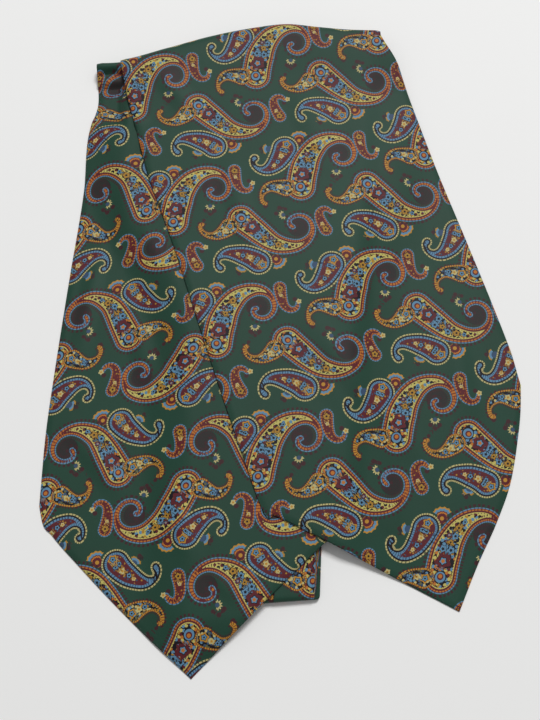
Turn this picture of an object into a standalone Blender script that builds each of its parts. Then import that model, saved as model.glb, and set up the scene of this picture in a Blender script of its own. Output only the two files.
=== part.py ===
"""Silk day cravat, folded in four and lying flat on a table.

The long strip of silk runs from the right blade's point up over the top fold,
down its hidden stretch into the pleated neck band, round the band's fold at
the bottom, back up, and over the top fold again into the left blade. The left
blade lies on the hidden stretches and the right blade lies across both.

Three solids: right_blade, left_blade and neck_band, which is the hidden
stretches and the pleated band as one rounded body, layered at its edges.

Lengths are in millimetres until a mesh is made. X runs to the right, Y towards
the top fold and Z up. The origin is on the table, below the middle of the box.
"""

import math
from collections.abc import Callable
from dataclasses import dataclass

import bmesh
import bpy
import numpy as np

MM = 0.001

# Cloth
CLOTH = 1.0  # wall of a blade: two faces of silk over a thin lining
GAP = 0.3  # clear space between layers that lie on each other
EDGE_ROUND = 0.25  # bevel along the turned edges
EDGE_ANGLE = math.radians(50.0)

# Top fold
ROLL_OUT = 4.3  # outer radius of the right blade's roll
CREST_RUN = 36.0  # length over which a roll settles onto what is below

# Hidden stretches and neck band
BAND_FROM_FOLD = 15.6  # its upper end stays clear of the blades' returns
BAND_END_Y, BAND_END_SLOPE = -139.3, 0.07  # bottom fold, a little out of square
GATHERED_Y, GATHERING = 60.0, 60.0  # the pleats are pressed in full below this stretch
PLEATS = (0.345, 0.65)  # places of the pleats' free edges across the band
PLEAT_STEP, OPEN_PLEAT = 0.6, 0.3  # height of a pleat, and its share where it opens out
PLEAT_LIP = ((0.7, 0.0), (0.2, 0.15), (-0.2, 1.0))  # past its edge, and share of the step
LAYER_ROUND = 0.5  # how far each layer's folded edge stands out
LAYER_BELLY = ((0.12, 0.0), (0.5, 1.0), (0.88, 0.0))  # share of its height, and of that
LAYER_BACK_RIGHT = (0.0, 0.2, 2.7, 2.9)  # the upper stretch is folded narrower
LAYER_BACK_LEFT = (0.6, 0.0, 1.4, 0.9)
END_ANGLES = (0.0, 25.0, 55.0, 90.0)  # where the half-round ends are sampled

# Drape
DROP_FROM = 4.0  # cloth bridges this far past the hidden edge before it falls
LEFT_DROP = 26.0  # width over which the left blade then comes down to the table
RIGHT_DROP = 42.0
HOLLOW_DROP = 7.0
OVER_EDGE = 13.0  # the right blade comes off the left one's edge over this
HOLLOW_AT, HOLLOW_SIZE, HOLLOW_DEEP = (-97.0, 130.0), (19.0, 14.0), 3.9

# Mesh
ROLL_ROWS = 10
RETURN_ROWS = 2
FRONT_ROWS = 42
FRONT_CROWD = 1.25  # above 1, rows lie closer together towards the fold
SIDE_CROWD = 1.3  # above 1, columns lie closer together towards the edges
BAND_ROWS = 22
CORNER_BLEND = 0.1  # share of a side over which it is led into its corner
LENGTH_SAMPLES = 400  # steps in which the length of a pointed end is measured

# Silk
SILK_ROUGHNESS = 0.45
RIGHT_GREEN = (0.035, 0.075, 0.06, 1.0)
LEFT_GREEN = (0.03, 0.065, 0.052, 1.0)
BAND_GREEN = (0.028, 0.06, 0.048, 1.0)


def table(columns, *rows):
    """Rows of numbers whose columns are read by name."""
    return np.array(list(rows), dtype=[(name, "f8") for name in columns.split()])


# The fold's outer edge in plan, from left to right
FOLD = table(
    "x y",
    (-105.0, 149.6),
    (-88.0, 150.5),
    (-64.0, 157.7),
    (-40.0, 165.3),
    (-15.0, 171.0),
    (2.0, 173.2),
    (20.0, 171.3),
    (36.0, 169.7),
    (56.0, 169.1),
)

# Hidden stretches and neck band: sides and height at places down the part
BAND = table(
    "y left right high",
    (154.0, -87.0, 49.0, 3.0),
    (110.0, -85.0, 47.0, 3.0),
    (80.0, -80.0, 41.0, 3.1),
    (50.0, -67.0, 29.0, 3.5),
    (22.0, -51.0, 20.5, 4.1),
    (-5.0, -42.5, 18.2, 4.4),
    (-60.0, -40.5, 18.0, 4.4),
    (-113.0, -40.0, 17.5, 4.4),
    (-139.5, -40.5, 16.3, 4.4),
)


def ease(t):
    """Goes smoothly from 0 to 1."""
    t = np.clip(t, 0.0, 1.0)
    return t * t * (3.0 - 2.0 * t)


def through(rows, place, value, at):
    """Reads a smooth curve through a table's points at the given places."""
    x, y = rows[place], rows[value]
    if x[0] > x[-1]:
        x, y = x[::-1], y[::-1]
    slope = np.gradient(y, x)
    at = np.clip(at, x[0], x[-1])
    i = np.clip(np.searchsorted(x, at) - 1, 0, len(x) - 2)
    step = x[i + 1] - x[i]
    t = (at - x[i]) / step
    lean = slope[i] * t * (1.0 - t) ** 2 - slope[i + 1] * t * t * (1.0 - t)
    return y[i] + (y[i + 1] - y[i]) * ease(t) + step * lean


@dataclass(frozen=True)
class Blade:
    """One pointed end of the cravat, measured along and across its middle line."""

    name: str
    head: tuple  # a point of the middle line, near the fold
    tilt: float  # degrees by which the blade leans to the right as it runs down
    fold_x: tuple  # where its fold starts and ends
    inside: float  # how far its roll lies inside the outer one
    under: float  # length of cloth that shows below its roll
    edges: np.ndarray  # along, left, right: the two sides
    end: np.ndarray  # side, along: the pointed end from left to right
    height: Callable  # underside of the front at a place in plan
    columns: int
    colour: tuple

    def measure(self, x, y):
        """Distances along and across the blade of a place in plan."""
        turn = math.radians(self.tilt)
        dx, dy = x - self.head[0], y - self.head[1]
        along = dx * math.sin(turn) - dy * math.cos(turn)
        return along, dx * math.cos(turn) + dy * math.sin(turn)

    def place(self, along, side):
        """The place in plan of distances along and across the blade."""
        turn = math.radians(self.tilt)
        x = self.head[0] + along * math.sin(turn) + side * math.cos(turn)
        y = self.head[1] - along * math.cos(turn) + side * math.sin(turn)
        return np.stack([x, y], axis=-1)

    def point_share(self):
        """Where the point lies, from 0 at the left corner to 1 at the right."""
        side = self.end["side"]
        return (side[self.end["along"].argmax()] - side[0]) / (side[-1] - side[0])


def fold_point(x):
    """The fold's outer edge at x, and the direction that leads in from it."""
    x = np.asarray(x, dtype=float)
    slope = through(FOLD, "x", "y", x + 0.5) - through(FOLD, "x", "y", x - 0.5)
    length = np.hypot(1.0, slope)
    inward = np.stack([slope / length, -1.0 / length], axis=-1)
    return np.stack([x, through(FOLD, "x", "y", x)], axis=-1), inward


def settled_share(x, y):
    """0 on the rolls' crest, 1 where a front has come down onto what is below."""
    edge, inward = fold_point(x)
    below = (edge[..., 1] - y) * -inward[..., 1]
    return ease((below - ROLL_OUT) / CREST_RUN)


def hidden_height(x, y, drop):
    """Height of cloth that lies on the hidden stretches and falls beside them."""
    left, right = through(BAND, "y", "left", y), through(BAND, "y", "right", y)
    aside = np.maximum(np.maximum(left - x, x - right), 0.0)
    past_end = np.maximum(BAND_END_Y + BAND_END_SLOPE * x - y, 0.0)
    beyond = np.hypot(aside, past_end) - DROP_FROM
    return (through(BAND, "y", "high", y) + GAP) * (1.0 - ease(beyond / drop))


def left_height(x, y):
    """Underside of the left blade's front."""
    crest = 2.0 * ROLL_OUT - LEFT.inside - CLOTH
    height = crest + (hidden_height(x, y, LEFT_DROP) - crest) * settled_share(x, y)
    across = (x - HOLLOW_AT[0]) / HOLLOW_SIZE[0]
    down = (y - HOLLOW_AT[1]) / HOLLOW_SIZE[1]
    hollow = HOLLOW_DEEP * (1.0 - ease(np.hypot(across, down)))
    return np.maximum(height - hollow, hidden_height(x, y, HOLLOW_DROP))


def right_height(x, y):
    """Underside of the right blade's front."""
    along, side = LEFT.measure(x, y)
    point = LEFT.end[LEFT.end["along"].argmax()]
    past_side = side - LEFT.edges["right"].max()
    past_point = (side - point["side"] + along - point["along"]) * math.sqrt(0.5)
    past_left = np.maximum(np.maximum(past_side, past_point), 0.0)
    on_left = (CLOTH + GAP) * (1.0 - ease(past_left / OVER_EDGE))
    crest = 2.0 * ROLL_OUT - CLOTH
    settled = hidden_height(x, y, RIGHT_DROP) + on_left
    return crest + (settled - crest) * settled_share(x, y)


RIGHT = Blade(
    name="right_blade",
    head=(-17.0, 161.0),
    tilt=16.3,
    fold_x=(-89.0, 54.0),
    inside=0.0,
    under=10.0,
    edges=table(
        "along left right",
        (-6.0, -74.0, 70.8),
        (10.0, -74.2, 71.6),
        (32.0, -74.3, 73.0),
        (62.0, -75.0, 73.2),
        (99.0, -72.6, 73.8),
        (144.0, -71.2, 75.2),
        (198.0, -69.3, 76.3),
        (219.0, -68.3, 76.2),
        (243.0, -67.0, 75.0),
    ),
    end=table(
        "side along",
        (-67.0, 243.0),
        (-66.2, 249.0),
        (-61.5, 253.5),
        (-50.0, 264.0),
        (-20.0, 292.5),
        (8.8, 320.0),
        (24.0, 302.5),
        (40.6, 285.0),
        (53.0, 269.5),
        (63.0, 252.0),
        (70.5, 236.5),
        (74.9, 225.0),
    ),
    height=right_height,
    columns=22,
    colour=RIGHT_GREEN,
)

LEFT = Blade(
    name="left_blade",
    head=(-27.0, 150.0),
    tilt=-4.1,
    fold_x=(-102.6, 46.0),
    inside=CLOTH + GAP,
    under=7.5,
    edges=table(
        "along left right",
        (4.0, -75.4, 71.0),
        (18.0, -73.8, 71.0),
        (30.0, -72.6, 71.0),
        (46.0, -74.4, 71.0),
        (82.0, -73.0, 71.0),
        (133.0, -74.1, 71.0),
        (180.0, -74.9, 71.0),
        (213.0, -75.0, 71.0),
        (250.0, -73.2, 71.0),
    ),
    end=table(
        "side along",
        (-73.2, 250.0),
        (-70.8, 257.5),
        (-65.1, 263.8),
        (-50.0, 277.6),
        (-20.0, 303.0),
        (7.1, 323.9),
        (22.5, 305.6),
        (47.0, 277.5),
        (63.4, 259.5),
        (69.5, 252.5),
        (71.0, 248.0),
    ),
    height=left_height,
    columns=21,
    colour=LEFT_GREEN,
)


def columns_of(blade):
    """Places of the columns across a blade, closer at its edges, one at its point."""
    tip = blade.point_share()
    before = round(blade.columns * tip)
    outer = np.linspace(0.0, 1.0, before + 1) ** SIDE_CROWD
    inner = np.linspace(1.0, 0.0, blade.columns - before + 1) ** SIDE_CROWD
    return np.concatenate([tip * outer, 1.0 - (1.0 - tip) * inner[1:]])


def end_line(blade, u):
    """Plan of the pointed end, its points spaced by length on each side of the point."""
    top = blade.end["along"].argmax()
    tip = blade.point_share()
    line = np.empty((len(u), 2))
    before = u < tip + 1e-6
    to_point = (before, blade.end[: top + 1], u / tip)
    from_point = (~before, blade.end[top:], (u - tip) / (1.0 - tip))
    for chosen, rows, share in (to_point, from_point):
        side = np.linspace(rows["side"][0], rows["side"][-1], LENGTH_SAMPLES)
        along = through(rows, "side", "along", side)
        length = np.append(0.0, np.cumsum(np.hypot(np.diff(side), np.diff(along))))
        at = share[chosen] * length[-1]
        line[chosen] = blade.place(np.interp(at, length, along), np.interp(at, length, side))
    return line


def side_line(blade, which, first, last, v):
    """Plan of one side, from the roll's crest to its corner of the pointed end."""
    start, stop = blade.measure(*first)[0], blade.measure(*last)[0]
    along = start + (stop - start) * v
    line = blade.place(along, through(blade.edges, "along", which, along))
    from_start = 1.0 - ease(v / CORNER_BLEND)
    to_end = ease((v - 1.0 + CORNER_BLEND) / CORNER_BLEND)
    line += (first - line[0]) * from_start[:, None]
    return line + (last - line[-1]) * to_end[:, None]


def front_plan(blade, crest, u, v):
    """Plan of a blade's front, ruled between its crest, two sides and pointed end."""
    bottom = end_line(blade, u)
    left = side_line(blade, "left", crest[0], bottom[0], v)[:, None]
    right = side_line(blade, "right", crest[-1], bottom[-1], v)[:, None]
    u, v = u[None, :, None], v[:, None, None]
    across = (1 - u) * left + u * right
    down = (1 - v) * crest + v * bottom
    corners = (1 - v) * ((1 - u) * crest[0] + u * crest[-1])
    return across + down - corners - v * ((1 - u) * bottom[0] + u * bottom[-1])


def middle_points(blade):
    """Middle of a blade's wall, row by row: return below, roll, then front."""
    u = columns_of(blade)
    v = np.linspace(0.0, 1.0, FRONT_ROWS + 1) ** FRONT_CROWD
    radius = ROLL_OUT - blade.inside - CLOTH / 2.0
    edge, inward = fold_point(blade.fold_x[0] + (blade.fold_x[1] - blade.fold_x[0]) * u)
    crest = edge + inward * ROLL_OUT
    level = np.ones(len(u))
    rows = []
    for out in np.linspace(blade.under, 0.0, RETURN_ROWS, endpoint=False):
        rows.append(np.column_stack([crest + inward * out, level * (ROLL_OUT - radius)]))
    for angle in np.linspace(-math.pi / 2.0, math.pi / 2.0, ROLL_ROWS + 1):
        rise = ROLL_OUT + radius * math.sin(angle)
        rows.append(np.column_stack([crest - inward * radius * math.cos(angle), level * rise]))
    plan = front_plan(blade, crest, u, v)
    front = np.dstack([plan, blade.height(plan[..., 0], plan[..., 1]) + CLOTH / 2.0])
    return np.concatenate([np.array(rows), front[1:]])


def add_object(name, bm, colour, home):
    """Makes the part's object from a built mesh and gives it its silk."""
    mesh = bpy.data.meshes.new(name)
    bm.to_mesh(mesh)
    bm.free()
    silk = bpy.data.materials.new(name + "_silk")
    silk.use_nodes = True
    shader = silk.node_tree.nodes["Principled BSDF"]
    shader.inputs["Base Color"].default_value = colour
    shader.inputs["Roughness"].default_value = SILK_ROUGHNESS
    shader.inputs["Metallic"].default_value = 0.0
    mesh.materials.append(silk)
    mesh.shade_smooth()
    mesh.set_sharp_from_angle(angle=EDGE_ANGLE)
    obj = bpy.data.objects.new(name, mesh)
    home.objects.link(obj)
    return obj


def make_blade(blade, home):
    """A cloth wall: a grid laid through the middle points, thickened and softened."""
    points = middle_points(blade)
    rows, columns = points.shape[:2]
    bm = bmesh.new()
    bmesh.ops.create_grid(bm, x_segments=columns - 1, y_segments=rows - 1, size=0.5)
    for vert in bm.verts:
        column = round((0.5 + vert.co.x) * (columns - 1))
        row = round((0.5 - vert.co.y) * (rows - 1))
        vert.co = points[row, column] * MM
    obj = add_object(blade.name, bm, blade.colour, home)
    wall = obj.modifiers.new("Cloth wall", "SOLIDIFY")
    wall.thickness = CLOTH * MM
    wall.offset = 0.0
    wall.use_even_offset = True
    soft = obj.modifiers.new("Turned edge", "BEVEL")
    soft.width = EDGE_ROUND * MM
    soft.segments = 1
    soft.limit_method = "ANGLE"
    soft.angle_limit = EDGE_ANGLE


def layered_side(at, outward, backs, high, bottom_up):
    """One side of the band's section: a small belly for each folded layer."""
    layer = high / len(backs)
    points = []
    for number, back in enumerate(backs):
        for share, belly in LAYER_BELLY:
            x = at - outward * (LAYER_ROUND * (1.0 - belly) + back)
            points.append((x, (number + share) * layer))
    return points if bottom_up else points[::-1]


def pleated_top(left, right, high, step):
    """Top of the band's section from right to left: each pleat falls away to the right."""
    stops = (0.0, *PLEATS, 1.0)
    points = []
    for near, far in zip(reversed(stops[:-1]), reversed(stops[1:])):
        start, stop = (left + (right - left) * share for share in (near, far))
        if far == 1.0:
            points.append((stop, high - step))
        points.append(((start + stop) / 2.0, high - step / 2.0))
        if near:
            points += [(start + past, high - step * share) for past, share in PLEAT_LIP]
    return [*points, (left, high - step * PLEAT_LIP[1][1])]


def band_section(y):
    """A section across the band as (x, z) points, and where its layered sides begin."""
    left, right, high = (float(through(BAND, "y", k, y)) for k in ("left", "right", "high"))
    pressed = float(ease((GATHERED_Y - y) / GATHERING))
    step = PLEAT_STEP * (OPEN_PLEAT + (1.0 - OPEN_PLEAT) * pressed)
    body_left = left + LAYER_BACK_LEFT[-1] + 2.0 * LAYER_ROUND
    body_right = right - LAYER_BACK_RIGHT[-1] - 2.0 * LAYER_ROUND
    top = pleated_top(body_left, body_right, high, step)
    ring = layered_side(right, 1.0, LAYER_BACK_RIGHT, high, True) + top
    ring += layered_side(left, -1.0, LAYER_BACK_LEFT, high, False)
    ring += [(x, 0.0) for x, _ in reversed(top)]
    return ring, body_left, body_right


def rounded_end(half):
    """Rows that close an end in a half circle: distance from it, and share of the height."""
    angles = [math.radians(a) for a in END_ANGLES]
    return [(half * (1.0 - math.cos(a)), math.sin(a)) for a in angles]


def band_rows():
    """Places down the band where it is sampled, each with its share of the full height."""
    top, top_half, end_half = BAND["y"][0], BAND["high"][0] / 2.0, BAND["high"][-1] / 2.0
    plain = np.linspace(top - top_half, BAND_END_Y + end_half, BAND_ROWS + 1)[1:-1]
    rows = [(top - inset, share) for inset, share in rounded_end(top_half)]
    rows += [(y, 1.0) for y in plain]
    return rows + [(BAND_END_Y + inset, share) for inset, share in rounded_end(end_half)[::-1]]


def make_band(home):
    """The hidden stretches and pleated band, closed by a round fold at each end."""
    bm = bmesh.new()
    rings = []
    for y, upright in band_rows():
        section, body_left, body_right = band_section(y)
        middle = float(through(BAND, "y", "high", y)) / 2.0
        down = (y - BAND_END_Y) / (BAND["y"][0] - BAND_END_Y)
        ring = []
        for x, z in section:
            within = min(max(x, body_left), body_right)
            x = within + (x - within) * upright
            upper = fold_point(x)[0][1] - BAND_FROM_FOLD
            lower = BAND_END_Y + BAND_END_SLOPE * x
            point = (x, lower + (upper - lower) * down, middle + (z - middle) * upright)
            ring.append(bm.verts.new([value * MM for value in point]))
        rings.append(ring)
    for near, far in zip(rings, rings[1:]):
        for i in range(len(near)):
            bm.faces.new((near[i - 1], near[i], far[i], far[i - 1]))
    bmesh.ops.remove_doubles(bm, verts=bm.verts, dist=0.001 * MM)
    bmesh.ops.recalc_face_normals(bm, faces=bm.faces)
    add_object("neck_band", bm, BAND_GREEN, home)


def main():
    for obj in list(bpy.data.objects):
        bpy.data.objects.remove(obj)
    home = bpy.data.collections.new("silk_cravat")
    bpy.context.scene.collection.children.link(home)
    make_blade(RIGHT, home)
    make_blade(LEFT, home)
    make_band(home)


main()
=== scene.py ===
"""Silk day cravat, folded in four and lying flat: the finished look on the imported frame.

The two blades and the pleated neck band are fine shells on the same sizes as
their solids. The print is a small repeat of curling, tapering strokes. Each
stroke is charted by its head, a few arcs and its half widths, and the cloth's
points are told how deep they lie inside each kind of stroke. The silk turns
those depths into the print's lines, beads and flowers.

Lengths are in millimetres until a mesh is made, in the frame's axes.
"""

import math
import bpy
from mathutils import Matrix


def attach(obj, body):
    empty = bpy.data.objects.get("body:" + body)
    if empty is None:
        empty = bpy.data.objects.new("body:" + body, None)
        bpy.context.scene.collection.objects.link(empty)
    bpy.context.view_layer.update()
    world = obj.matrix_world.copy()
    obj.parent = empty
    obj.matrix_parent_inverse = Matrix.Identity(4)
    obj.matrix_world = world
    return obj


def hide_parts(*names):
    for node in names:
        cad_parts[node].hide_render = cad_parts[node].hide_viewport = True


bl_info = {
    "name": "Folded silk cravat",
    "version": (1, 0, 0),
    "blender": (4, 5, 0),
    "location": "View3D > Sidebar > Cravat",
    "description": "Dresses a folded day cravat in paisley silk twill",
    "category": "Object",
}

from collections.abc import Callable
from dataclasses import dataclass
from functools import partialmethod

import bpy
import numpy as np
from bpy.props import FloatProperty, FloatVectorProperty, PointerProperty
from mathutils import Vector

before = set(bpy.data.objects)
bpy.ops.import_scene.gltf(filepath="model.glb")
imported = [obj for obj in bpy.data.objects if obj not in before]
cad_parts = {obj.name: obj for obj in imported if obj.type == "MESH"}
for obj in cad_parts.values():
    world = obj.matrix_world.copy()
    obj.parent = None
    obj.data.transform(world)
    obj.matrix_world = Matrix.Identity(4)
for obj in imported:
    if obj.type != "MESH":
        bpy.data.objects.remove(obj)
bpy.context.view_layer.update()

MM = 0.001
BODY = "root"

# Cloth
CLOTH = 1.0  # full thickness of a blade
RIM = 0.5  # its thickness at the turned edge
PUFF = 3.2  # width over which the edge fills out
EDGE_SEARCH = 40.0  # how far up and down the edge is looked for
GAP = 0.3

# Top fold
ROLL_OUT = 4.3
CREST_RUN = 36.0
CREASES_FULL = 0.25  # share of that run in which the creases reach their height

# Hidden stretches and neck band
BAND_FROM_FOLD = 15.6
BAND_END_Y, BAND_END_SLOPE = -139.3, 0.07
GATHERED_Y, GATHERING = 60.0, 60.0
PLEATS = (0.345, 0.65)
PLEAT_STEP, OPEN_PLEAT = 0.6, 0.3
PLEAT_LIP = ((0.7, 0.0), (0.45, 0.04), (0.2, 0.15), (0.0, 0.45), (-0.2, 1.0))
LAYER_ROUND = 0.5
LAYER_BELLY = ((0.04, 0), (0.14, 0.55), (0.3, 0.9), (0.5, 1), (0.7, 0.9), (0.86, 0.55), (0.96, 0))
LAYER_BACK_RIGHT = (0.0, 0.2, 2.7, 2.9)
LAYER_BACK_LEFT = (0.6, 0.0, 1.4, 0.9)
END_SQUARE = 0.3  # below 1, the end keeps square corners
STRIP_SHIFT = 11.0  # the lower layers on the right show another part of the print
END_ANGLES = (4.0, 15.0, 27.0, 40.0, 55.0, 72.0, 90.0)

# Drape
DROP_FROM = 4.0
LEFT_DROP = 26.0
RIGHT_DROP = 42.0
HOLLOW_DROP = 5.0
OVER_EDGE = 13.0
HOLLOW_AT, HOLLOW_SIZE, HOLLOW_DEEP = (-92.0, 130.0), (17.0, 23.0), 6.4
HOLLOW_FLAT, HOLLOW_BRINK = 1.9, 4.0  # flatness of its floor, and the run from the roll down into it
RETURN_TOP, RETURN_RUN = 2.7, 4.0  # it clears the cloth that comes back under the roll

# Mesh
FRONT_ROWS, SIDE_COLUMNS = 286, 140
ROLL_ROWS = 16
RETURN_ROWS = 8
BAND_ROWS, BAND_COLUMNS = 262, 108
CORNER_BLEND = 0.1
LENGTH_SAMPLES = 400
CHUNK = 4000  # points whose place in the print is worked out together


def table(columns, *rows):
    """Rows of numbers whose columns are read by name."""
    return np.array(list(rows), dtype=[(name, "f8") for name in columns.split()])


# The fold's outer edge in plan, from left to right
FOLD = table(
    "x y",
    (-105, 149.6), (-88, 150.5), (-64, 157.7), (-40, 165.3), (-15, 171), (2, 173.2), (20, 171.3),
    (36, 169.7), (56, 169.1),
)

# Hidden stretches and neck band: sides and height at places down the part
BAND = table(
    "y left right high",
    (154, -81, 49, 3), (110, -80, 47, 3), (80, -77, 41, 3.1), (50, -67, 29, 3.5), (22, -51, 20.5, 4.1),
    (-5, -42.5, 18.2, 4.4), (-60, -40.5, 18, 4.4), (-113, -40, 17.5, 4.4), (-139.5, -40.5, 16.3, 4.4),
)


def ease(t):
    """Goes smoothly from 0 to 1."""
    t = np.clip(t, 0.0, 1.0)
    return t * t * (3.0 - 2.0 * t)


def through(rows, place, value, at):
    """Reads a smooth curve through a table's points at the given places."""
    x, y = rows[place], rows[value]
    if x[0] > x[-1]:
        x, y = x[::-1], y[::-1]
    slope = np.gradient(y, x)
    at = np.clip(at, x[0], x[-1])
    i = np.clip(np.searchsorted(x, at) - 1, 0, len(x) - 2)
    step = x[i + 1] - x[i]
    t = (at - x[i]) / step
    lean = slope[i] * t * (1.0 - t) ** 2 - slope[i + 1] * t * t * (1.0 - t)
    return y[i] + (y[i + 1] - y[i]) * ease(t) + step * lean


def turned(points, degrees):
    """Points of a plan turned about its origin."""
    cos, sin = math.cos(math.radians(degrees)), math.sin(math.radians(degrees))
    x, y = points[..., 0], points[..., 1]
    return np.stack([x * cos - y * sin, x * sin + y * cos], axis=-1)


@dataclass(frozen=True)
class Laid:
    """How the print lies on a piece: bent sideways, stretched, turned and shifted."""

    turn: float
    shift: tuple
    bend: float = 0.0
    bend_from: float = 0.0  # y at which the bend starts
    bends_above: bool = False
    stretch: tuple = (1.0, 1.0)
    pulls: tuple | np.ndarray = ()  # x, y, reach, across, up: where it is pulled a little

    def on(self, flat):
        """Places on the print of places on the flat cloth."""
        for pull in self.pulls:
            away = np.hypot(flat[..., 0] - pull["x"], flat[..., 1] - pull["y"]) / pull["reach"]
            flat = flat + (1.0 - ease(away))[..., None] * (pull["across"], pull["up"])
        past = flat[..., 1] - self.bend_from
        past = past if self.bends_above else np.minimum(past, 0.0)
        x = (flat[..., 0] + self.bend * past**2) * self.stretch[0]
        y = flat[..., 1] * self.stretch[1]
        return turned(np.stack([x, y], axis=-1), self.turn) + self.shift


@dataclass(frozen=True)
class Blade:
    """One pointed end of the cravat, measured along and across its middle line."""

    name: str
    slot: str
    head: tuple  # a point of the middle line, near the fold
    tilt: float  # degrees by which the blade leans to the right as it runs down
    fold_x: tuple  # where its fold starts and ends
    inside: float  # how far its roll lies inside the outer one
    under: float  # length of cloth that shows below its roll
    edges: np.ndarray  # along, left, right: the two sides
    end: np.ndarray  # side, along: the pointed end from left to right
    height: Callable  # underside of the front at a place in plan
    laid: Laid
    creases: np.ndarray  # x, y, turn, long, wide, rise

    def measure(self, x, y):
        """Distances along and across the blade of a place in plan."""
        turn = math.radians(self.tilt)
        dx, dy = x - self.head[0], y - self.head[1]
        along = dx * math.sin(turn) - dy * math.cos(turn)
        return along, dx * math.cos(turn) + dy * math.sin(turn)

    def place(self, along, side):
        """The place in plan of distances along and across the blade."""
        turn = math.radians(self.tilt)
        x = self.head[0] + along * math.sin(turn) + side * math.cos(turn)
        y = self.head[1] - along * math.cos(turn) + side * math.sin(turn)
        return np.stack([x, y], axis=-1)

    def point_share(self):
        """Where the point lies, from 0 at the left corner to 1 at the right."""
        side = self.end["side"]
        return (side[self.end["along"].argmax()] - side[0]) / (side[-1] - side[0])


def fold_point(x):
    """The fold's outer edge at x, and the direction that leads in from it."""
    x = np.asarray(x, dtype=float)
    slope = through(FOLD, "x", "y", x + 0.5) - through(FOLD, "x", "y", x - 0.5)
    length = np.hypot(1.0, slope)
    inward = np.stack([slope / length, -1.0 / length], axis=-1)
    return np.stack([x, through(FOLD, "x", "y", x)], axis=-1), inward


def past_crest(x, y):
    """Distance from the rolls' crest, down the front."""
    edge, inward = fold_point(x)
    return (edge[..., 1] - y) * -inward[..., 1] - ROLL_OUT


def settled_share(x, y):
    """0 on the rolls' crest, 1 where a front has come down onto what is below."""
    return ease(past_crest(x, y) / CREST_RUN)


def hidden_height(x, y, drop):
    """Height of cloth that lies on the hidden stretches and falls beside them."""
    left, right = through(BAND, "y", "left", y), through(BAND, "y", "right", y)
    aside = np.maximum(np.maximum(left - x, x - right), 0.0)
    past_end = np.maximum(BAND_END_Y + BAND_END_SLOPE * x - y, 0.0)
    beyond = np.hypot(aside, past_end) - DROP_FROM
    return (through(BAND, "y", "high", y) + GAP) * (1.0 - ease(beyond / drop))


def crease_rise(creases, x, y):
    """How far a blade's soft creases lift it at a place in plan."""
    rise = np.zeros_like(x)
    for crease in creases:
        own = turned(np.stack([x - crease["x"], y - crease["y"]], axis=-1), -crease["turn"])
        along, across = np.abs(own[..., 0]) / crease["long"], np.abs(own[..., 1]) / crease["wide"]
        rise += crease["rise"] * (1.0 - ease(along)) * (1.0 - ease(across))
    return rise


def left_height(x, y):
    """Underside of the left blade's front."""
    crest = 2.0 * ROLL_OUT - LEFT.inside - CLOTH
    height = crest + (hidden_height(x, y, LEFT_DROP) - crest) * settled_share(x, y)
    across = (x - HOLLOW_AT[0]) / HOLLOW_SIZE[0]
    down = (y - HOLLOW_AT[1]) / HOLLOW_SIZE[1]
    hollow = HOLLOW_DEEP * (1.0 - ease(np.hypot(across, down) ** HOLLOW_FLAT))
    down = past_crest(x, y)
    hollow *= ease(down / HOLLOW_BRINK)
    cleared = RETURN_TOP * (1.0 - ease((down - LEFT.under) / RETURN_RUN))
    return np.maximum(height - hollow, np.maximum(hidden_height(x, y, HOLLOW_DROP), cleared))


def right_height(x, y):
    """Underside of the right blade's front."""
    along, side = LEFT.measure(x, y)
    point = LEFT.end[LEFT.end["along"].argmax()]
    past_side = side - LEFT.edges["right"].max()
    past_point = (side - point["side"] + along - point["along"]) * math.sqrt(0.5)
    past_left = np.maximum(np.maximum(past_side, past_point), 0.0)
    on_left = (CLOTH + GAP) * (1.0 - ease(past_left / OVER_EDGE))
    crest = 2.0 * ROLL_OUT - CLOTH
    settled = hidden_height(x, y, RIGHT_DROP) + on_left
    return crest + (settled - crest) * settled_share(x, y)


RIGHT = Blade(
    name="right_blade",
    slot="right_silk",
    head=(-17.0, 161.0),
    tilt=16.3,
    fold_x=(-89.0, 54.0),
    inside=0.0,
    under=10.0,
    edges=table(
        "along left right",
        (-6, -74, 70.8), (10, -74.2, 71.6), (32, -74.3, 73), (62, -75, 73.2), (99, -72.6, 73.8),
        (144, -71.2, 75.2), (198, -69.3, 76.3), (219, -68.3, 76.2), (243, -67, 75),
    ),
    end=table(
        "side along",
        (-67, 243), (-66.2, 249), (-61.5, 253.5), (-50, 264), (-20, 292.5), (8.8, 320), (24, 302.5),
        (40.6, 285), (53, 269.5), (63, 252), (70.5, 236.5), (74.9, 225),
    ),
    height=right_height,
    laid=Laid(turn=-0.13, shift=(-0.18, 0.0), bend=0.000436, bend_from=1.1, stretch=(1.007, 1.0019)),
    creases=table(
        "x y turn long wide rise",
        (40, -36, -53, 64, 11, 1.1), (27, -54, -53, 50, 9, -0.22), (-58, 130, -53, 28, 9, 0.8),
        (-76, 96, -12, 13, 6, 1), (-79.5, 111, 22, 10, 5, 0.7), (16, 108, -72, 38, 12, 0.6),
        (66, 62, -62, 44, 13, 0.8), (-22, 58, -76, 40, 9, 0.55), (88, -28, -84, 46, 9, 0.8),
        (52, -104, -66, 32, 8, 0.7),
    ),
)

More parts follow.
